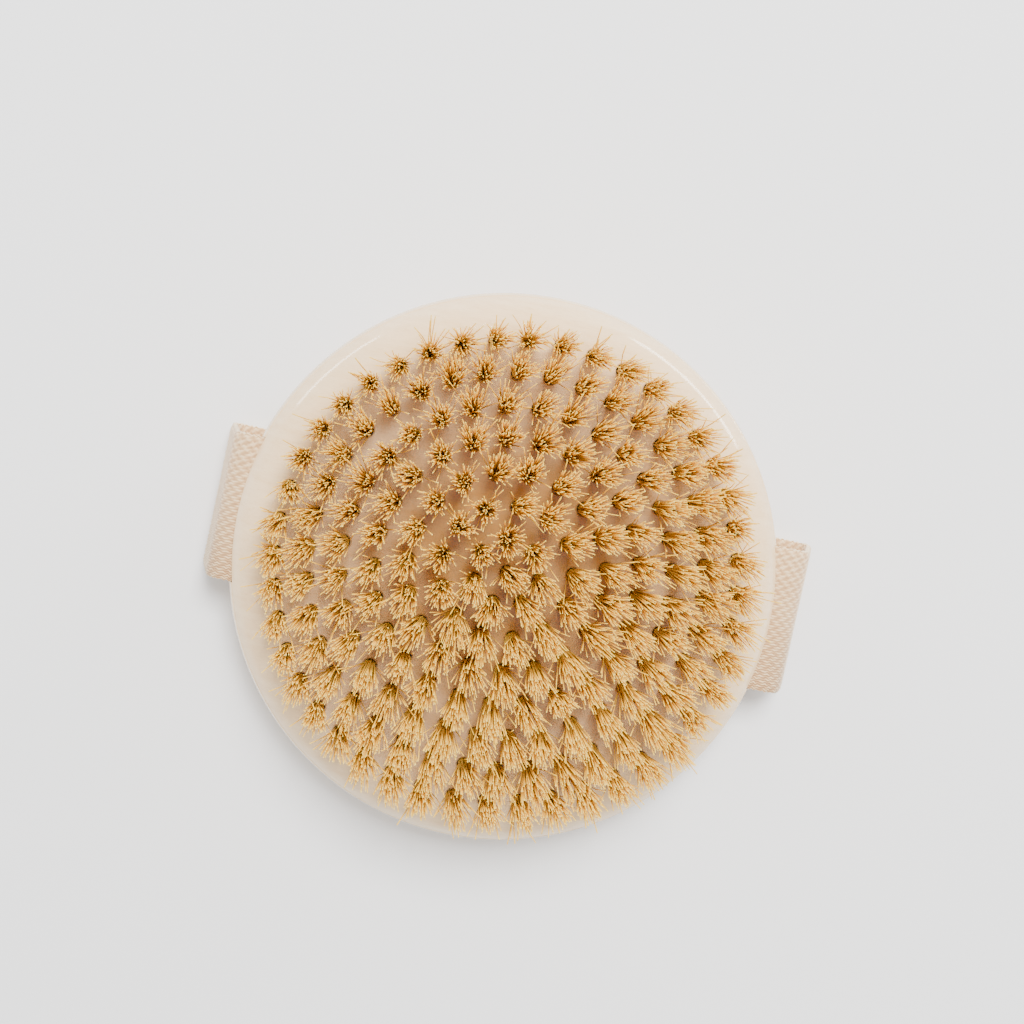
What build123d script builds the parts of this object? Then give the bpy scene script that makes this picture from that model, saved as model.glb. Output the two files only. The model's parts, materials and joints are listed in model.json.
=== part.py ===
"""Round body dry brush: a two-layer turned wooden body, drawn fibre tufts in rings and a webbing hand strap.

Frame: +Z up through the bristles, +X along the strap, origin on the body's axis in the plane that the
strap rests on. Millimetres.
"""

from build123d import *
import math
import os

# Body, from the floor up
BODY_RADIUS = 60.0
BODY_THICKNESS = 24.0
STRAP_THICKNESS = 2.0
STRAP_GAP = 0.3  # between the strap and the crown of the back
Z_BACK = STRAP_THICKNESS + STRAP_GAP
Z_FACE = Z_BACK + BODY_THICKNESS

# Rim: a quarter ellipse from the flat face down to the widest line of the body
FACE_RADIUS = 52.0
RIM_DEPTH = 9.0
RIM_REACH = BODY_RADIUS - FACE_RADIUS
Z_WIDEST = Z_FACE - RIM_DEPTH

# Joint between the bristle plate and the back cover
PLATE_THICKNESS = 5.0
Z_SEAM = Z_FACE - PLATE_THICKNESS
SEAM_CHAMFER = 0.35

# Back: a rounded edge that runs into a shallow dome, sanded flat at its crown
BACK_EDGE_RADIUS = 5.0
CROWN_FLATTENING = 0.55

# Tufts: one in the middle and seven rings round it
RING_PITCH = 7.1
RING_COUNTS = [7, 13, 19, 25, 32, 38, 44]
RING_START_DEG = [50.1, 9.7, 13.6, 1.3, 1.2, 4.2, 6.7]
RING_LEANS = [0.9, 1.6, 1.7, 1.6, 1.5, 1.2, -0.2]  # outward travel of a ring's tips from their holes
BRISTLE_LENGTH = 20.0
TUFT_ROOT_RADIUS = 1.4
TUFT_TIP_RADIUS = 2.7
HOLE_RADIUS = 1.5
COUNTERSINK = 0.3
TUFT_CLEARANCE = 0.1  # between the folded end of a tuft and the cover

# Drawing wire, which threads the folded ends of the tufts in a groove behind the plate
WIRE_RADIUS = 0.3
WIRE_EYE_RADIUS = 0.35
WIRE_HEIGHT = 0.75  # of the wire's middle above the seam
GROOVE_WIDTH = 1.4
GROOVE_DEPTH = 1.3
CENTRE_WIRE_LENGTH = 10.0

# Webbing strap and the slots that its ends are stapled into
STRAP_WIDTH = 31.5
STRAP_SHIFT = 1.3  # the strap lies this far to one side of the body's axis
STRAP_END_X = 43.5
SLOT_END_X = 43.2
SLOT_WIDTH = 32.1
SLOT_DEPTH = 2.4
Z_STRAP_END = Z_SEAM - SLOT_DEPTH / 2
SHOULDER_X_LEFT = 62.2  # corner of the strap's line beside the rim
SHOULDER_X_RIGHT = 64.0
SHOULDER_RADIUS_LEFT = 3.8
SHOULDER_RADIUS_RIGHT = 5.4
FOLD_X_LEFT = 65.5  # corner of the strap's line on the floor
FOLD_X_RIGHT = 68.4
FOLD_RADIUS = 4.2

# Staples
STAPLE_X = 50.0
STAPLE_Y = 8.0
STAPLE_CROWN = 9.0
STAPLE_LEG = 7.0
STAPLE_WIRE_WIDTH = 0.9
STAPLE_WIRE_THICKNESS = 0.6


def rim_radius(z):
    """Radius of the rim's ellipse at a height between the widest line and the face."""
    return FACE_RADIUS + RIM_REACH * math.sqrt(1 - ((z - Z_WIDEST) / RIM_DEPTH) ** 2)


def rim_arc(z_low, z_high):
    """Stretch of the rim's ellipse between two heights, drawn in X and Z."""
    low, high = (math.degrees(math.asin((z - Z_WIDEST) / RIM_DEPTH)) for z in (z_low, z_high))
    return EllipticalCenterArc((FACE_RADIUS, Z_WIDEST), RIM_REACH, RIM_DEPTH, low, arc_size=high - low)


def turned(*edges):
    """Solid of revolution about Z of a closed outline drawn in X and Z."""
    return revolve(Plane.XZ * make_face(Curve() + list(edges)), Axis.Z)


def plate_blank():
    edge_z = Z_SEAM + SEAM_CHAMFER
    edge = (rim_radius(edge_z), edge_z)
    inner = (rim_radius(Z_SEAM) - SEAM_CHAMFER, Z_SEAM)
    return turned(
        Line((0, Z_SEAM), inner),
        Line(inner, edge),
        rim_arc(edge_z, Z_FACE),
        Line((FACE_RADIUS, Z_FACE), (0, Z_FACE)),
        Line((0, Z_FACE), (0, Z_SEAM)),
    )


def cover_blank():
    edge_z = Z_SEAM - SEAM_CHAMFER
    edge = (rim_radius(edge_z), edge_z)
    inner = (rim_radius(Z_SEAM) - SEAM_CHAMFER, Z_SEAM)

    # the dome's circle touches the back edge's circle from outside
    crown_z = Z_BACK - CROWN_FLATTENING
    rise = Z_WIDEST - crown_z
    edge_x = BODY_RADIUS - BACK_EDGE_RADIUS
    dome_radius = (edge_x**2 + rise**2 - BACK_EDGE_RADIUS**2) / (2 * (rise - BACK_EDGE_RADIUS))
    dome_z = crown_z + dome_radius
    flat_radius = math.sqrt(dome_radius**2 - (dome_radius - CROWN_FLATTENING) ** 2)
    flat_turn = math.degrees(math.asin(flat_radius / dome_radius))
    meet_turn = math.degrees(math.atan2(edge_x, dome_z - Z_WIDEST))
    print(f"dome radius {dome_radius:.1f}, flat crown radius {flat_radius:.1f}")

    return turned(
        Line((0, Z_SEAM), inner),
        Line(inner, edge),
        rim_arc(Z_WIDEST, edge_z),
        CenterArc((edge_x, Z_WIDEST), BACK_EDGE_RADIUS, meet_turn - 90, 90 - meet_turn),
        CenterArc((0, dome_z), dome_radius, flat_turn - 90, meet_turn - flat_turn),
        Line((flat_radius, Z_BACK), (0, Z_BACK)),
        Line((0, Z_BACK), (0, Z_SEAM)),
    )


def ring_radius(ring):
    return RING_PITCH * ring


def ring_turns(ring):
    """Turns about Z that place the tufts of a ring, in degrees."""
    count = RING_COUNTS[ring - 1]
    return [RING_START_DEG[ring - 1] + 360 * i / count for i in range(count)]


def hole_tool(x):
    """Drill and countersink for one tuft, at a distance from the axis."""
    drill = Pos(x, 0, Z_SEAM - 1) * extrude(Circle(HOLE_RADIUS), PLATE_THICKNESS + 2)
    mouth = Pos(x, 0, Z_FACE - COUNTERSINK / 2) * Cone(HOLE_RADIUS, HOLE_RADIUS + COUNTERSINK, COUNTERSINK)
    return drill + mouth


def wire_groove(ring):
    """Ring-shaped groove in the back of the plate, for one drawing wire."""
    outer = Circle(ring_radius(ring) + GROOVE_WIDTH / 2)
    inner = Circle(ring_radius(ring) - GROOVE_WIDTH / 2)
    return Pos(0, 0, Z_SEAM) * extrude(outer - inner, GROOVE_DEPTH)


def tuft(x, lean):
    """One tuft, folded round its wire in the hole and flaring above the face."""
    bottom = Pos(x, 0, Z_SEAM + TUFT_CLEARANCE) * Circle(TUFT_ROOT_RADIUS)
    mouth = Pos(x, 0, Z_FACE) * Circle(TUFT_ROOT_RADIUS)
    tip = Pos(x + lean, 0, Z_FACE + BRISTLE_LENGTH) * Circle(TUFT_TIP_RADIUS)
    return loft([bottom, mouth, tip], ruled=True)


def wire_ring(ring, radius):
    return Pos(0, 0, Z_SEAM + WIRE_HEIGHT) * Torus(ring_radius(ring), radius)


def wire_rod(radius, length):
    return Pos(0, 0, Z_SEAM + WIRE_HEIGHT) * Rot(0, 90, 0) * Cylinder(radius, length)


def strap():
    """Webbing from the left slot out over the rim, down, under the back and up to the right slot."""
    low_z = STRAP_THICKNESS / 2
    path = FilletPolyline(
        (-STRAP_END_X, STRAP_SHIFT, Z_STRAP_END),
        (-SHOULDER_X_LEFT, STRAP_SHIFT, Z_STRAP_END),
        (-FOLD_X_LEFT, STRAP_SHIFT, low_z),
        (FOLD_X_RIGHT, STRAP_SHIFT, low_z),
        (SHOULDER_X_RIGHT, STRAP_SHIFT, Z_STRAP_END),
        (STRAP_END_X, STRAP_SHIFT, Z_STRAP_END),
        radius=[SHOULDER_RADIUS_LEFT, FOLD_RADIUS, FOLD_RADIUS, SHOULDER_RADIUS_RIGHT],
    )
    section = Plane(origin=path @ 0, z_dir=path % 0, x_dir=(0, 1, 0)) * Rectangle(STRAP_WIDTH, STRAP_THICKNESS)
    print(f"strap length {path.length:.1f}")
    return sweep(section, path)


def staple(x, y):
    """One wire staple, its crown sunk flush into the top of the strap's end."""
    top = Z_STRAP_END + STRAP_THICKNESS / 2
    crown = Pos(x, y, top - STAPLE_WIRE_THICKNESS / 2) * Box(STAPLE_WIRE_WIDTH, STAPLE_CROWN, STAPLE_WIRE_THICKNESS)
    leg_y = (STAPLE_CROWN - STAPLE_WIRE_THICKNESS) / 2
    leg = Box(STAPLE_WIRE_WIDTH, STAPLE_WIRE_THICKNESS, STAPLE_LEG)
    leg_z = top - STAPLE_LEG / 2
    return crown + Pos(x, y - leg_y, leg_z) * leg + Pos(x, y + leg_y, leg_z) * leg


def strap_slot(side):
    """Slot for one end of the strap, milled into the top of the cover."""
    length = BODY_RADIUS - SLOT_END_X
    middle = SLOT_END_X + length / 2
    return Pos(side * middle, STRAP_SHIFT, Z_STRAP_END) * Box(length, SLOT_WIDTH, SLOT_DEPTH)


def write(name, shape):
    """Write one node, as one solid or as a group of separate solids."""
    solids = shape if isinstance(shape, list) else [shape]
    solids = [s for item in solids for s in item.solids()]
    node = solids[0] if len(solids) == 1 else Compound(children=solids)
    node.label = name
    export_step(node, f"parts/{name}.step")


os.makedirs("parts", exist_ok=True)

rings = range(1, len(RING_COUNTS) + 1)

staples = {
    side: [staple(sign * STAPLE_X, STRAP_SHIFT + y) for y in (-STAPLE_Y, STAPLE_Y)]
    for side, sign in (("left", -1), ("right", 1))
}

holes = [hole_tool(0)]
for ring in rings:
    tool = hole_tool(ring_radius(ring))
    holes += [Rot(0, 0, turn) * tool for turn in ring_turns(ring)]
centre_groove = Pos(0, 0, Z_SEAM + GROOVE_DEPTH / 2) * Box(CENTRE_WIRE_LENGTH + 0.4, GROOVE_WIDTH, GROOVE_DEPTH)
write("bristle_plate", plate_blank() - holes - [wire_groove(ring) for ring in rings] - centre_groove)

write("back_cover", cover_blank() - [strap_slot(-1), strap_slot(1)] - staples["left"] - staples["right"])

write("tuft_centre", tuft(0, 0) - wire_rod(WIRE_EYE_RADIUS, CENTRE_WIRE_LENGTH))
write("draw_wire_centre", wire_rod(WIRE_RADIUS, CENTRE_WIRE_LENGTH))
for ring in rings:
    first = tuft(ring_radius(ring), RING_LEANS[ring - 1]) - wire_ring(ring, WIRE_EYE_RADIUS)
    write(f"tufts_ring_{ring}", [Rot(0, 0, turn) * first for turn in ring_turns(ring)])
    write(f"draw_wire_ring_{ring}", wire_ring(ring, WIRE_RADIUS))

write("strap", strap() - staples["left"] - staples["right"])
for side in staples:
    write(f"strap_staples_{side}", staples[side])
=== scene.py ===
"""Looks of the round body dry brush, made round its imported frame.

Real fibres and woven webbing replace the CAD tufts and strap. The wood, the wires and the staples
keep their CAD shapes and get procedural materials.
"""

import json
import math

import bpy
import numpy as np
from mathutils import Matrix, Vector

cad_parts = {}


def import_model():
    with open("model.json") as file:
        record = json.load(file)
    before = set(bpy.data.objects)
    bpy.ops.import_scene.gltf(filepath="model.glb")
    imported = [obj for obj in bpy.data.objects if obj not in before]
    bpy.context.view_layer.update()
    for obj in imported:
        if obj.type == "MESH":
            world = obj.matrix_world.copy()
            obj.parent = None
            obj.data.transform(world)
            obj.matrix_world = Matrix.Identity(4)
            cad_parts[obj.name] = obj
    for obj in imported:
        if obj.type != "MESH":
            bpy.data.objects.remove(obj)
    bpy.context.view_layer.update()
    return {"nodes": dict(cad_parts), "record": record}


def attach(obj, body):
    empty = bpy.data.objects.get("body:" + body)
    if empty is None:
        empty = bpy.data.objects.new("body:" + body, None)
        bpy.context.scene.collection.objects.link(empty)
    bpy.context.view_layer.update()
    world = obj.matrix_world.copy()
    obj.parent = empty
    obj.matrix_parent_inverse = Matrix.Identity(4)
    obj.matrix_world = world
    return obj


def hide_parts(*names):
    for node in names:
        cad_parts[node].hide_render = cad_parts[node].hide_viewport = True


MM = 0.001

# Brush dimensions, in millimetres, as in the CAD
Z_SEAM = 21.3
Z_FACE = 26.3
RING_PITCH = 7.1
RING_COUNTS = [7, 13, 19, 25, 32, 38, 44]
RING_START_DEG = [50.1, 9.7, 13.6, 1.3, 1.2, 4.2, 6.7]
RING_LEANS = [0.9, 1.6, 1.7, 1.6, 1.5, 1.2, -0.2]
BRISTLE_LENGTH = 20.0
FOLD_Z = 21.62

# Painted shade on the wood among the tufts, warm as light bounced off the orange fibres; in
# millimetres it is full inside one radius, gone outside the other and at a set distance below the
# face
PAINTED_SHADE_START = 20.0
PAINTED_SHADE_END = 54.0
PAINTED_SHADE_DEPTH = 3.0
PAINTED_SHADE_COLOUR = (0.54, 0.38, 0.19)

# Fibres, in millimetres
HOLE_FILL_RADIUS = 1.3  # how far from a hole's middle the fibres start
START_JITTER = 0.05  # as a share of HOLE_FILL_RADIUS
GOLDEN_ANGLE = 2.39996  # in radians
FIBRES_PER_TUFT = 46
FIBRE_COUNT_CHANGE = 3
FIBRE_RADIUS = 0.122
FIBRE_SIDES = 4
THICKNESS_RANGE = (0.85, 1.15)
TAPER = [0.86, 0.95, 1.0, 1.0, 1.0, 0.9, 1.0, 1.0, 1.0, 0.95, 0.86]  # from tip to fold to tip
TIP_SPREAD = 2.4  # how many times wider a tuft is at its tips than in its hole
TIP_SPREAD_RANGE = (0.85, 1.15)
CLUMPS = 7
CLUMP_SHIFT = 0.25
TIP_SHIFT = 0.27
STRAY_SHARE = 0.22
STRAY_KICK = (1.2, 3.8)
LONGEST_TRAVEL = 9
EXTRA_LENGTH = 0.15
LENGTH_CHANGE = 0.22
BOW = 0.12
LOW_SHARE = 0.16  # how far up the free length the two middle points of a fibre lie
HIGH_SHARE = 0.55
BELOW_FACE = 0.5
ROOT_RISE = 1.6  # above the seam
ROOT_SHARE = 0.85  # how much of HOLE_FILL_RADIUS is left at the root and at the fold
FOLD_SHARE = 0.8
TUFT_WANDER = 0.6  # how far a whole tuft leans its own way, less in each ring outward
WANDER_LOSS = 0.04
FIRST_SEED = 100

# Strap, in millimetres; pairs are left and right
STRAP_WIDTH = 31.5
STRAP_THICKNESS = 2.0
STRAP_SHIFT = 1.3
STRAP_END_X = 43.5
Z_STRAP_END = 20.1
SHOULDER_X = (62.2, 64.0)
SHOULDER_RADIUS = (3.8, 5.4)
FOLD_X = (65.5, 68.4)
FOLD_RADIUS = 4.2
BEND_POINTS = 13
STATION_STEP = 0.5
RUN_SHIFT = 1.1  # how far the run under the back lies to the side of the strap's ends
RUN_SHIFT_START = 4  # the shift starts this far below the ends
RUN_SHIFT_FALL = 12  # and is complete this much lower
YARN_PITCH = 0.56
YARN_RELIEF = 0.5
FLOAT_PERIOD = 2.4
FLOAT_PHASES = [0.0, 0.25, 0.75, 0.5]  # of four yarns side by side, in periods
LOWEST_RELIEF = 0.35  # of a yarn's middle where it dives
YARN_NUDGE = 1e-4  # keeps the places on a yarn's border in one yarn
EDGE_WIDTH = 1.2
EDGE_THINNING = 0.35
SCALLOP = 0.2
SELVEDGE_POINTS = 3
SELVEDGE_BULGE = 0.22
SELVEDGE_ROUNDING = 0.7
SELVEDGE_LIFT = 0.45
SELVEDGE_RELIEF = 0.75

# Camera, in millimetres and degrees, and its distance in metres
AIM_MM = (-1.647, 12.885, 26.3)
VIEW_AZIMUTH = 231.176
VIEW_ELEVATION = 85.054
VIEW_ROLL = 140.888
VIEW_DISTANCE = 0.4
LENS = 65.788
SENSOR_WIDTH = 36
NEAR_CLIP = 0.01

# Studio, in metres
WORLD_STRENGTH = 1.05
FLOOR_HALF_SIZE = 3.0

WHITE = (1.0, 1.0, 1.0)
# places of the sockets that a colour Mix node uses
MIX_FACTOR, MIX_A, MIX_B, MIX_RESULT = 0, 6, 7, 2


def new_mesh_object(name, vertices_mm, faces, smooth=True):
    mesh = bpy.data.meshes.new(name)
    mesh.from_pydata((np.asarray(vertices_mm) * MM).tolist(), [], faces)
    if smooth:
        mesh.polygons.foreach_set("use_smooth", [True] * len(mesh.polygons))
    mesh.update()
    obj = bpy.data.objects.new(name, mesh)
    bpy.context.scene.collection.objects.link(obj)
    return obj


# ---------------------------------------------------------------- materials


def new_material(name):
    material = bpy.data.materials.new(name)
    material.use_nodes = True
    nodes = material.node_tree.nodes
    return material, nodes, material.node_tree.links, nodes["Principled BSDF"]


def add_ramp(nodes, stops):
    ramp = nodes.new("ShaderNodeValToRGB")
    elements = ramp.color_ramp.elements
    while len(elements) < len(stops):
        elements.new(0.5)
    for element, (position, colour) in zip(elements, stops):
        element.position = position
        element.color = (*colour, 1)
    return ramp


def add_noise(nodes, links, vector, scale, detail, stretch=None):
    noise = nodes.new("ShaderNodeTexNoise")
    noise.inputs["Scale"].default_value = scale
    noise.inputs["Detail"].default_value = detail
    if stretch:
        mapping = nodes.new("ShaderNodeMapping")
        mapping.inputs["Scale"].default_value = stretch
        links.new(vector, mapping.inputs["Vector"])
        vector = mapping.outputs["Vector"]
    links.new(vector, noise.inputs["Vector"])
    return noise


def add_bump(nodes, links, height, shader, strength, distance):
    bump = nodes.new("ShaderNodeBump")
    bump.inputs["Strength"].default_value = strength
    bump.inputs["Distance"].default_value = distance
    links.new(height, bump.inputs["Height"])
    links.new(bump.outputs["Normal"], shader.inputs["Normal"])


def multiply_colours(nodes, links, factor, first, second):
    """The first colour times the second, by a factor; each is a number, a colour or a socket."""
    mix = nodes.new("ShaderNodeMix")
    mix.data_type = "RGBA"
    mix.blend_type = "MULTIPLY"
    for index, value in ((MIX_FACTOR, factor), (MIX_A, first), (MIX_B, second)):
        if isinstance(value, (int, float)):
            mix.inputs[index].default_value = value
        elif isinstance(value, tuple):
            mix.inputs[index].default_value = (*value, 1)
        else:
            links.new(value, mix.inputs[index])
    return mix.outputs[MIX_RESULT]


def painted_shade_mask(nodes, links, place):
    """Mask of the painted shade: 1 on the face in the middle of the tufts, fading to 0 at the
    outer ring and below.
    """
    flatten = nodes.new("ShaderNodeMapping")
    flatten.inputs["Scale"].default_value = (1, 1, 0)
    links.new(place, flatten.inputs["Vector"])
    radius = nodes.new("ShaderNodeVectorMath")
    radius.operation = "LENGTH"
    links.new(flatten.outputs["Vector"], radius.inputs[0])
    inward = nodes.new("ShaderNodeMapRange")
    inward.inputs["From Min"].default_value = PAINTED_SHADE_END * MM
    inward.inputs["From Max"].default_value = PAINTED_SHADE_START * MM
    links.new(radius.outputs["Value"], inward.inputs["Value"])
    split = nodes.new("ShaderNodeSeparateXYZ")
    links.new(place, split.inputs["Vector"])
    near_face = nodes.new("ShaderNodeMapRange")
    near_face.inputs["From Min"].default_value = (Z_FACE - PAINTED_SHADE_DEPTH) * MM
    near_face.inputs["From Max"].default_value = Z_FACE * MM
    links.new(split.outputs["Z"], near_face.inputs["Value"])
    both = nodes.new("ShaderNodeMath")
    both.operation = "MULTIPLY"
    links.new(inward.outputs["Result"], both.inputs[0])
    links.new(near_face.outputs["Result"], both.inputs[1])
    return both.outputs["Value"]


def lacquered_wood():
    material, nodes, links, shader = new_material("lacquered_wood")
    place = nodes.new("ShaderNodeTexCoord").outputs["Object"]
    grain = add_noise(nodes, links, place, 75.0, 4.0, stretch=(1.0, 9.0, 3.0))
    pores = add_noise(nodes, links, place, 520.0, 3.0, stretch=(1.0, 12.0, 4.0))
    stops = [(0.3, (0.86, 0.61, 0.34)), (0.5, (0.89, 0.65, 0.38)), (0.72, (0.92, 0.69, 0.42))]
    tone = add_ramp(nodes, stops)
    links.new(grain.outputs["Fac"], tone.inputs["Fac"])
    fleck = add_ramp(nodes, [(0.35, (0.88, 0.84, 0.80)), (0.5, WHITE)])
    links.new(pores.outputs["Fac"], fleck.inputs["Fac"])
    colour = multiply_colours(nodes, links, 0.5, tone.outputs["Color"], fleck.outputs["Color"])
    # Painted shade: the wood turns a darker, warmer tan among the tufts and fades out towards the
    # rim.
    shade_amount = painted_shade_mask(nodes, links, place)
    colour = multiply_colours(nodes, links, shade_amount, colour, PAINTED_SHADE_COLOUR)
    links.new(colour, shader.inputs["Base Color"])
    shader.inputs["Roughness"].default_value = 0.6
    shader.inputs["Specular IOR Level"].default_value = 0.08
    shader.inputs["Coat Weight"].default_value = 1.0
    shader.inputs["Coat Roughness"].default_value = 0.12
    shader.inputs["Coat IOR"].default_value = 1.5
    add_bump(nodes, links, pores.outputs["Fac"], shader, 0.12, 0.0001)
    return material


def plant_fibre():
    material, nodes, links, shader = new_material("plant_fibre")
    place = nodes.new("ShaderNodeTexCoord").outputs["Object"]
    split = nodes.new("ShaderNodeSeparateXYZ")
    links.new(place, split.inputs["Vector"])
    height = nodes.new("ShaderNodeMapRange")
    height.inputs["From Min"].default_value = Z_FACE * MM
    height.inputs["From Max"].default_value = (Z_FACE + BRISTLE_LENGTH) * MM
    links.new(split.outputs["Z"], height.inputs["Value"])
    # Colour by height along the fibre: a little lighter at the root, painted light that offsets
    # the shade deep inside the tufts, and paler at the cut tips.
    stops = [
        (0.0, (0.99, 0.69, 0.10)),
        (0.35, (0.98, 0.66, 0.09)),
        (0.75, (0.96, 0.61, 0.08)),
        (0.97, (0.95, 0.62, 0.09)),
        (1.0, (0.96, 0.71, 0.18)),
    ]
    tone = add_ramp(nodes, stops)
    links.new(height.outputs["Result"], tone.inputs["Fac"])
    island = nodes.new("ShaderNodeNewGeometry").outputs["Random Per Island"]
    stops = [(0.0, (0.80, 0.74, 0.66)), (0.5, WHITE), (1.0, (1.06, 1.10, 1.08))]
    spread = add_ramp(nodes, stops)
    links.new(island, spread.inputs["Fac"])
    varied = multiply_colours(nodes, links, 0.8, tone.outputs["Color"], spread.outputs["Color"])
    streak = add_noise(nodes, links, place, 900.0, 2.0, stretch=(1.0, 1.0, 0.15))
    fleck = add_ramp(nodes, [(0.3, (0.88, 0.85, 0.80)), (0.6, WHITE)])
    links.new(streak.outputs["Fac"], fleck.inputs["Fac"])
    colour = multiply_colours(nodes, links, 0.7, varied, fleck.outputs["Color"])
    links.new(colour, shader.inputs["Base Color"])
    shader.inputs["Roughness"].default_value = 0.5
    shader.inputs["Specular IOR Level"].default_value = 0.15
    add_bump(nodes, links, streak.outputs["Fac"], shader, 0.2, 0.00005)
    return material


def cotton_webbing():
    material, nodes, links, shader = new_material("cotton_webbing")
    place = nodes.new("ShaderNodeTexCoord").outputs["Object"]
    relief = nodes.new("ShaderNodeAttribute")
    relief.attribute_name = "relief"
    # Painted shade: the colour turns dark brown where the yarns dive into the gaps between them.
    stops = [(0.0, (0.30, 0.15, 0.07)), (0.45, (0.74, 0.48, 0.25)), (0.8, (0.95, 0.77, 0.49))]
    gap_shade = add_ramp(nodes, stops)
    links.new(relief.outputs["Fac"], gap_shade.inputs["Fac"])
    fuzz = add_noise(nodes, links, place, 2600.0, 3.0, stretch=(0.35, 1.0, 1.0))
    patch = add_noise(nodes, links, place, 160.0, 2.0)
    fleck = add_ramp(nodes, [(0.3, (0.86, 0.82, 0.78)), (0.65, WHITE)])
    links.new(fuzz.outputs["Fac"], fleck.inputs["Fac"])
    cloud = add_ramp(nodes, [(0.35, (0.94, 0.90, 0.87)), (0.6, WHITE)])
    links.new(patch.outputs["Fac"], cloud.inputs["Fac"])
    colour = multiply_colours(nodes, links, 0.8, gap_shade.outputs["Color"], fleck.outputs["Color"])
    colour = multiply_colours(nodes, links, 0.8, colour, cloud.outputs["Color"])
    links.new(colour, shader.inputs["Base Color"])
    shader.inputs["Roughness"].default_value = 0.92
    shader.inputs["Specular IOR Level"].default_value = 0.2
    shader.inputs["Sheen Weight"].default_value = 0.35
    add_bump(nodes, links, fuzz.outputs["Fac"], shader, 0.5, 0.00008)
    return material


def drawn_steel():
    material, nodes, links, shader = new_material("drawn_steel")
    place = nodes.new("ShaderNodeTexCoord").outputs["Object"]
    scratch = add_noise(nodes, links, place, 1500.0, 4.0)
    tone = add_ramp(nodes, [(0.3, (0.42, 0.42, 0.43)), (0.7, (0.62, 0.62, 0.63))])
    links.new(scratch.outputs["Fac"], tone.inputs["Fac"])
    links.new(tone.outputs["Color"], shader.inputs["Base Color"])
    shader.inputs["Metallic"].default_value = 1.0
    shader.inputs["Roughness"].default_value = 0.35
    add_bump(nodes, links, scratch.outputs["Fac"], shader, 0.15, 0.00002)
    return material


# ---------------------------------------------------------------- bristles


def fibre_ends(random, count):
    """Where the fibres' outer halves start in a round hole of radius 1: (outward, sideways)."""
    index = np.arange(count)
    radius = np.sqrt((index + 0.5) / count)
    turn = (index * GOLDEN_ANGLE) % math.pi - math.pi / 2
    outward = radius * np.cos(turn)
    sideways = radius * np.sin(turn)
    jitter = random.normal(0, START_JITTER, (2, count))
    return np.stack([outward + jitter[0], sideways + jitter[1]], 1)


def half_paths(random, starts, side, lean, spread):
    """One half of each fibre, from hole to tip, in the tuft's own outward, sideways, up axes."""
    count = len(starts)
    flat = starts * [side, 1] * HOLE_FILL_RADIUS
    clumps = random.normal(0, CLUMP_SHIFT, (CLUMPS, 2))
    member = random.integers(0, CLUMPS, count)
    reach = flat * spread + clumps[member] + random.normal(0, TIP_SHIFT, (count, 2)) + lean
    stray = random.random(count) < STRAY_SHARE
    turn = random.uniform(0, 2 * math.pi, count)
    kick = random.uniform(*STRAY_KICK, count) * stray
    reach += np.stack([np.cos(turn), np.sin(turn)], 1) * kick[:, None]

    travel = np.minimum(np.linalg.norm(reach - flat, axis=1), LONGEST_TRAVEL)
    rise = np.sqrt(BRISTLE_LENGTH**2 - travel**2)
    rise = rise + random.normal(0, LENGTH_CHANGE, count) + EXTRA_LENGTH
    bow = random.normal(0, BOW, (count, 2))

    def at(plan, z):
        return np.concatenate([plan, np.broadcast_to(z, count)[:, None]], 1)

    points = [
        at(flat * ROOT_SHARE, Z_SEAM + ROOT_RISE),
        at(flat, Z_FACE - BELOW_FACE),
        at(flat + (reach - flat) * LOW_SHARE, Z_FACE + rise * LOW_SHARE),
        at(flat + (reach - flat) * HIGH_SHARE + bow, Z_FACE + rise * HIGH_SHARE),
        at(reach, Z_FACE + rise),
    ]
    return np.stack(points, 1)


def tuft_fibres(random, ring_lean, wander):
    """Every fibre of a tuft: up one side of the wire, folded under it and up the other side."""
    count = FIBRES_PER_TUFT + random.integers(-FIBRE_COUNT_CHANGE, FIBRE_COUNT_CHANGE + 1)
    starts = fibre_ends(random, count)
    lean = random.normal(0, wander, 2) + [ring_lean, 0]
    spread = TIP_SPREAD * random.uniform(*TIP_SPREAD_RANGE)
    outer = half_paths(random, starts, 1, lean, spread)
    inner = half_paths(random, starts, -1, lean, spread)
    across_fold = starts[:, 1] * HOLE_FILL_RADIUS * FOLD_SHARE
    fold = np.stack([np.zeros(count), across_fold, np.full(count, FOLD_Z)], 1)
    return np.concatenate([outer[:, ::-1], fold[:, None], inner], 1)


def tubes(paths, radius, sideways):
    """Vertices and faces of closed tubes along paths of shape (fibre, point, 3)."""
    fibres, points = paths.shape[:2]
    ahead = np.gradient(paths, axis=1)
    ahead /= np.linalg.norm(ahead, axis=2, keepdims=True)
    first = sideways[:, None] - (sideways[:, None] * ahead).sum(2, keepdims=True) * ahead
    first /= np.linalg.norm(first, axis=2, keepdims=True)
    second = np.cross(ahead, first)
    angles = 2 * math.pi * np.arange(FIBRE_SIDES) / FIBRE_SIDES
    ring = first[:, :, None] * np.cos(angles)[None, None, :, None]
    ring = ring + second[:, :, None] * np.sin(angles)[None, None, :, None]
    vertices = paths[:, :, None] + ring * radius[:, :, None, None]

    start = np.arange(fibres)[:, None, None] * points * FIBRE_SIDES
    row = np.arange(points - 1)[None, :, None] * FIBRE_SIDES
    here = np.arange(FIBRE_SIDES)[None, None, :]
    there = (here + 1) % FIBRE_SIDES
    a = start + row + here
    b = start + row + there
    sides = np.stack([a, b, b + FIBRE_SIDES, a + FIBRE_SIDES], 3).reshape(-1, 4)
    cap = np.arange(FIBRE_SIDES)
    first_cap = start[:, 0] + cap[::-1]
    last_cap = start[:, 0] + (points - 1) * FIBRE_SIDES + cap
    faces = np.concatenate([sides, first_cap, last_cap])
    return vertices.reshape(-1, 3), faces.tolist()


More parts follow.
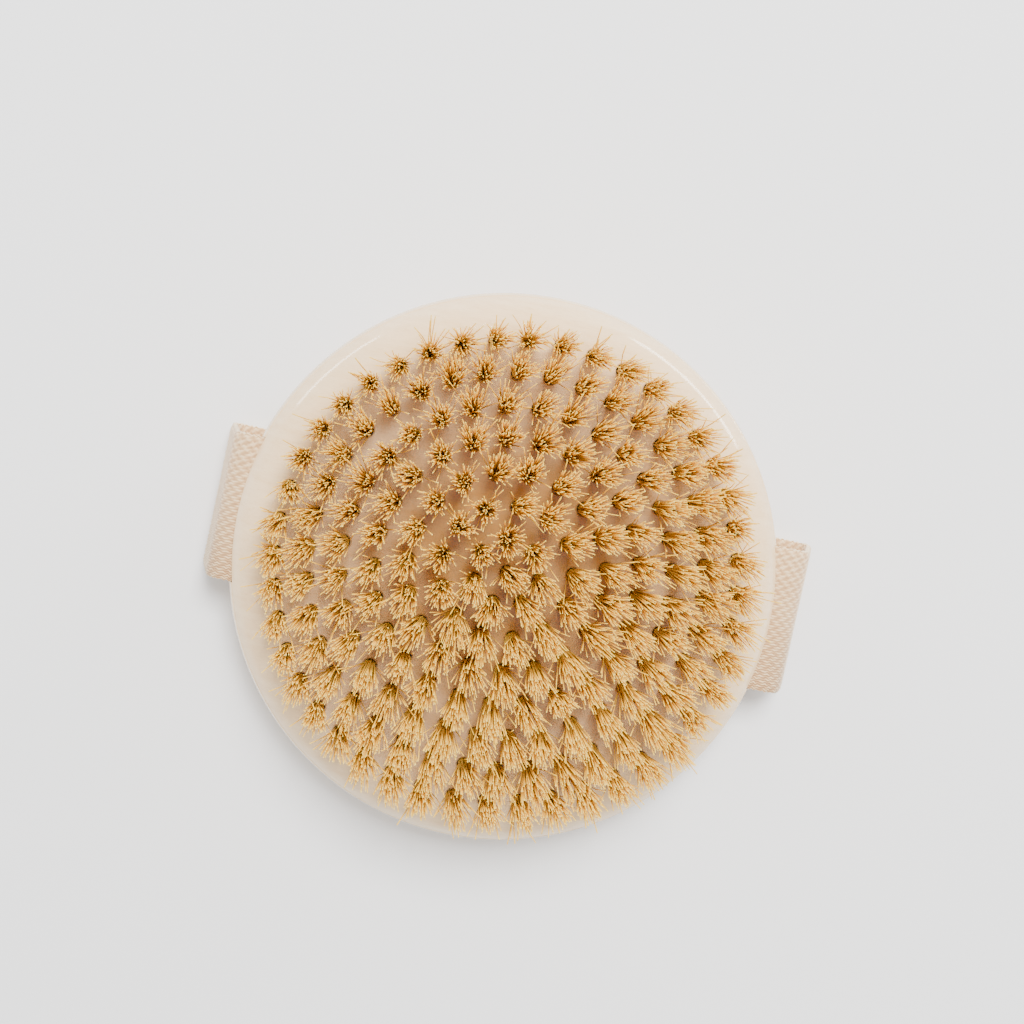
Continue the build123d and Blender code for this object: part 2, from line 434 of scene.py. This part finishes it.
def tuft_group(name, ring, material):
    """The tufts of a ring, or the centre tuft for ring 0, as folded fibres in place of the CAD."""
    random = np.random.default_rng(FIRST_SEED + ring)
    root_x = RING_PITCH * ring
    count = RING_COUNTS[ring - 1] if ring else 1
    start = RING_START_DEG[ring - 1] if ring else 0.0
    ring_lean = RING_LEANS[ring - 1] if ring else 0.0
    wander = TUFT_WANDER - WANDER_LOSS * ring
    all_paths = []
    all_sideways = []
    for i in range(count):
        turn = math.radians(start + 360 * i / count)
        outward = np.array([math.cos(turn), math.sin(turn), 0])
        sideways = np.array([-math.sin(turn), math.cos(turn), 0])
        local = tuft_fibres(random, ring_lean, wander)
        paths = (local[:, :, 0:1] + root_x) * outward + local[:, :, 1:2] * sideways
        paths[:, :, 2] += local[:, :, 2]
        all_paths.append(paths)
        all_sideways.append(np.broadcast_to(sideways, (len(paths), 3)))
    paths = np.concatenate(all_paths)
    sideways = np.concatenate(all_sideways)
    thickness = FIBRE_RADIUS * random.uniform(*THICKNESS_RANGE, (len(paths), 1))
    vertices, faces = tubes(paths, thickness * np.array(TAPER), sideways)
    obj = new_mesh_object(name + "_fibres", vertices, faces)
    obj.data.materials.append(material)
    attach(obj, "root")
    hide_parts(name)


# ---------------------------------------------------------------- strap


def rounded_line(corners, radii, step):
    """A line through corners, its inner ones rounded to radii, as points about step apart.

    Returns the points and how far along the line each one lies.
    """
    corners = [np.array(c, float) for c in corners]
    points = [corners[0]]
    for before, corner, after, radius in zip(corners, corners[1:], corners[2:], radii):
        incoming = (corner - before) / np.linalg.norm(corner - before)
        outgoing = (after - corner) / np.linalg.norm(after - corner)
        turn = math.acos(float(np.clip(incoming @ outgoing, -1, 1)))
        tangent = radius * math.tan(turn / 2)
        start = corner - incoming * tangent
        inward = outgoing - incoming
        middle = corner + inward / np.linalg.norm(inward) * (radius / math.cos(turn / 2))
        spoke = start - middle
        way = math.copysign(1, incoming[0] * outgoing[1] - incoming[1] * outgoing[0])
        for angle in np.linspace(0, turn, BEND_POINTS) * way:
            c, s = math.cos(angle), math.sin(angle)
            turned = [c * spoke[0] - s * spoke[1], s * spoke[0] + c * spoke[1]]
            points.append(middle + np.array(turned))
    points.append(corners[-1])
    points = np.array(points)
    along = np.concatenate([[0], np.cumsum(np.linalg.norm(np.diff(points, axis=0), axis=1))])
    count = int(round(along[-1] / step)) + 1
    wanted = np.linspace(0, along[-1], count)
    even = [np.interp(wanted, along, points[:, k]) for k in range(2)]
    return np.stack(even, 1), wanted


def weave_relief(across, along):
    """Height of the warp yarns at places on the webbing, from 0 in a gap to 1 on a float."""
    yarn = across / YARN_PITCH
    index = np.floor(yarn).astype(int)
    rib = np.cos((yarn - index - 0.5) * math.pi)
    phase = np.array(FLOAT_PHASES)[index % len(FLOAT_PHASES)]
    wave = 0.5 + 0.5 * np.cos(2 * math.pi * (along / FLOAT_PERIOD + phase))
    return rib * (LOWEST_RELIEF + (1 - LOWEST_RELIEF) * wave)


def strap_section(line, along):
    """The webbing's outline at every station: one face, a selvedge, the other face, a selvedge.

    Returns the points, their yarn height, from which the material paints shade into the gaps, and
    how many lie across a face.
    """
    ahead = np.gradient(line, axis=0)
    ahead /= np.linalg.norm(ahead, axis=1, keepdims=True)
    normal = np.stack([-ahead[:, 1], ahead[:, 0]], 1)  # towards the brush's back

    yarns = int(round(STRAP_WIDTH / YARN_PITCH))
    lines = 2 * yarns + 1
    across = np.linspace(-0.5, 0.5, lines) * STRAP_WIDTH
    from_edge = across[None, :] + STRAP_WIDTH / 2 + YARN_NUDGE
    front_height = weave_relief(from_edge, along[:, None])
    back_height = weave_relief(from_edge, along[:, None] + FLOAT_PERIOD / 2)
    near_edge = np.clip((np.abs(across) - STRAP_WIDTH / 2 + EDGE_WIDTH) / EDGE_WIDTH, 0, 1)
    edge = 1 - near_edge**3 * EDGE_THINNING
    half = STRAP_THICKNESS / 2 * edge[None, :]
    front = half - YARN_RELIEF * (1 - front_height)
    back = -half + YARN_RELIEF * (1 - back_height)

    scallop = SCALLOP * np.cos(2 * math.pi * along / (FLOAT_PERIOD / 2))
    fallen = (Z_STRAP_END - RUN_SHIFT_START - line[:, 1]) / RUN_SHIFT_FALL
    shift = STRAP_SHIFT + RUN_SHIFT * np.clip(fallen, 0, 1)
    y = across[None, :] * (1 + scallop[:, None] * 2 / STRAP_WIDTH) + shift[:, None]

    def lay(y_values, lift):
        x = line[:, 0, None] + normal[:, 0, None] * lift
        z = line[:, 1, None] + normal[:, 1, None] * lift
        return np.stack([x, y_values, z], 2)

    rounded = SELVEDGE_BULGE * SELVEDGE_ROUNDING
    bulge = np.array([[rounded, SELVEDGE_BULGE, rounded]])
    lift = np.tile([SELVEDGE_LIFT, 0.0, -SELVEDGE_LIFT], (len(line), 1))
    right = lay(np.repeat(y[:, -1:], SELVEDGE_POINTS, 1) + bulge, lift)
    left = lay(np.repeat(y[:, :1], SELVEDGE_POINTS, 1) - bulge, -lift)
    section = np.concatenate([lay(y, front), right, lay(y, back)[:, ::-1], left], 1)
    selvedge = np.full((len(line), SELVEDGE_POINTS), SELVEDGE_RELIEF)
    relief = np.concatenate([front_height, selvedge, back_height[:, ::-1], selvedge], 1)
    return section, relief, lines


def strap_faces(section, lines):
    """Faces round the strap from station to station, and the two cut ends."""
    stations, around = section.shape[:2]
    here = np.arange(around)
    there = (here + 1) % around
    rows = np.arange(stations - 1)[:, None] * around
    corners = [rows + here, rows + there, rows + around + there, rows + around + here]
    sides = np.stack(corners, 2).reshape(-1, 4)
    ends = []
    for station, flip in ((0, False), (stations - 1, True)):
        first = station * around
        last_back = 2 * lines + SELVEDGE_POINTS - 1  # the back face runs the other way
        for k in range(lines - 1):
            quad = [first + k, first + k + 1, first + last_back - k - 1, first + last_back - k]
            ends.append(quad if flip else quad[::-1])
        for k in (lines - 1, last_back):
            fan = [first + (k + m) % around for m in range(SELVEDGE_POINTS + 2)]
            ends.append(fan if flip else fan[::-1])
    return sides.tolist() + ends


def webbing_strap(material):
    """The strap as one woven band, from one end in the body round both folds to the other."""
    low = STRAP_THICKNESS / 2
    corners = [
        (-STRAP_END_X, Z_STRAP_END),
        (-SHOULDER_X[0], Z_STRAP_END),
        (-FOLD_X[0], low),
        (FOLD_X[1], low),
        (SHOULDER_X[1], Z_STRAP_END),
        (STRAP_END_X, Z_STRAP_END),
    ]
    radii = [SHOULDER_RADIUS[0], FOLD_RADIUS, FOLD_RADIUS, SHOULDER_RADIUS[1]]
    line, along = rounded_line(corners, radii, STATION_STEP)
    section, relief, lines = strap_section(line, along)
    obj = new_mesh_object("strap_webbing", section.reshape(-1, 3), strap_faces(section, lines))
    attribute = obj.data.attributes.new("relief", "FLOAT", "POINT")
    attribute.data.foreach_set("value", relief.reshape(-1).astype(np.float32))
    obj.data.materials.append(material)
    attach(obj, "root")
    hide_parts("strap")


# ---------------------------------------------------------------- camera, light and floor


def view_axes(azimuth, elevation, roll):
    """The camera's right, up and backward directions."""
    a, e, r = (math.radians(v) for v in (azimuth, elevation, roll))
    back = Vector((math.sin(a) * math.cos(e), -math.cos(a) * math.cos(e), math.sin(e)))
    up = Vector((-math.sin(a) * math.sin(e), math.cos(a) * math.sin(e), math.cos(e)))
    right = up.cross(back)
    rolled_right = right * math.cos(r) + up * math.sin(r)
    rolled_up = up * math.cos(r) - right * math.sin(r)
    return rolled_right, rolled_up, back


def place_camera():
    right, up, back = view_axes(VIEW_AZIMUTH, VIEW_ELEVATION, VIEW_ROLL)
    camera = bpy.data.objects.new("camera", bpy.data.cameras.new("camera"))
    bpy.context.scene.collection.objects.link(camera)
    place = Vector(AIM_MM) * MM + back * VIEW_DISTANCE
    axes = Matrix((right, up, back)).transposed().to_4x4()
    camera.matrix_world = Matrix.Translation(place) @ axes
    camera.data.lens = LENS
    camera.data.sensor_width = SENSOR_WIDTH
    camera.data.clip_start = NEAR_CLIP
    bpy.context.scene.camera = camera
    return right, up


def area_light(name, direction, distance, size, power):
    data = bpy.data.lights.new(name, "AREA")
    data.shape = "RECTANGLE"
    data.size, data.size_y = size
    data.energy = power
    light = bpy.data.objects.new(name, data)
    bpy.context.scene.collection.objects.link(light)
    light.location = direction.normalized() * distance
    light.rotation_euler = direction.to_track_quat("Z", "Y").to_euler()
    return light


def studio(right, up):
    """White world, three softboxes placed by the picture's right and up, and the floor."""
    world = bpy.data.worlds.new("studio")
    world.use_nodes = True
    background = world.node_tree.nodes["Background"]
    background.inputs["Color"].default_value = (*WHITE, 1)
    background.inputs["Strength"].default_value = WORLD_STRENGTH
    bpy.context.scene.world = world
    above = Vector((0, 0, 1))
    high = above + up * 0.36 + right * 0.1
    overhead = area_light("overhead", high, distance=1.1, size=(0.32, 0.32), power=22.5)
    overhead.visible_glossy = False  # its mirror image would lie as a bright arc along the rim
    low = above * 0.14 + up * 0.62 + right * 0.75
    area_light("low_right", low, distance=1.0, size=(0.6, 0.16), power=9.0)
    low = above * 0.14 + up * 0.8 - right * 0.7
    area_light("low_left", low, distance=1.0, size=(0.45, 0.14), power=4.5)

    side = FLOOR_HALF_SIZE / MM
    corners = [(-side, -side, 0), (side, -side, 0), (side, side, 0), (-side, side, 0)]
    floor = new_mesh_object("floor", corners, [[0, 1, 2, 3]], smooth=False)
    material, _, _, shader = new_material("pale_floor")
    shader.inputs["Base Color"].default_value = (0.93, 0.93, 0.93, 1)
    shader.inputs["Roughness"].default_value = 0.8
    floor.data.materials.append(material)


def main():
    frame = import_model()
    nodes = frame["nodes"]

    right, up = place_camera()
    studio(right, up)

    wood = lacquered_wood()
    fibre = plant_fibre()
    webbing = cotton_webbing()
    steel = drawn_steel()
    slots = {part["node"]: part["material_slot"] for part in frame["record"]["subparts"]}
    by_slot = {
        "wood": wood,
        "bristle": fibre,
        "draw_wire": steel,
        "webbing": webbing,
        "staple": steel,
    }
    for name, node in nodes.items():
        node.data.materials.clear()
        node.data.materials.append(by_slot[slots[name]])

    tuft_group("tuft_centre", 0, fibre)
    for ring in range(1, len(RING_COUNTS) + 1):
        tuft_group(f"tufts_ring_{ring}", ring, fibre)
    webbing_strap(webbing)


main()
